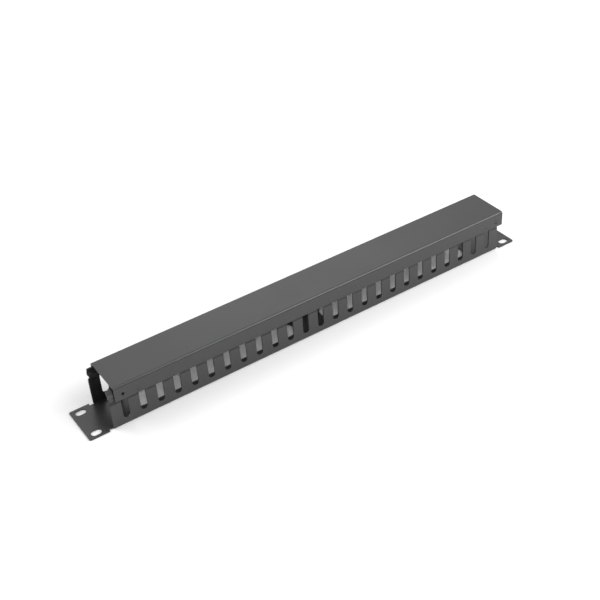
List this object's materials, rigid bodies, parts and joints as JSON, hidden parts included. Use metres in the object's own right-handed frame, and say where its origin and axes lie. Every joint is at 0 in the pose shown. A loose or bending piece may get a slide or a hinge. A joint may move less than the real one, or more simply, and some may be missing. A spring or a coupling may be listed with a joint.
{
  "type": "horizontal cable manager",
  "caption": "Slotted-wall cable duct that mounts across a 19-inch rack in one rack unit, with a lift-off cover pushed over the fingers of its two comb walls.",
  "frame": {"origin": "centre of the panel on its mounting face, the face that lies on the rack's rails", "axes": "+X along the panel from the left ear to the right ear, +Y across it towards the top edge as mounted, +Z out of the rack towards the cover"},
  "size_m": [0.4826, 0.0444, 0.0436],
  "materials": {
    "panel_powder_coat": "satin black powder coat on folded sheet steel",
    "cover_powder_coat": "satin black powder coat on folded sheet steel"
  },
  "bodies": {
    "panel": {"rack_panel": "panel_powder_coat"},
    "cover": {"cover": "cover_powder_coat"}
  },
  "joints": [
    {"name": "cover_lift", "type": "slide", "parent": "panel", "child": "cover", "axis": [0, 0, 1], "range_m": [0, 0.04]}
  ]
}
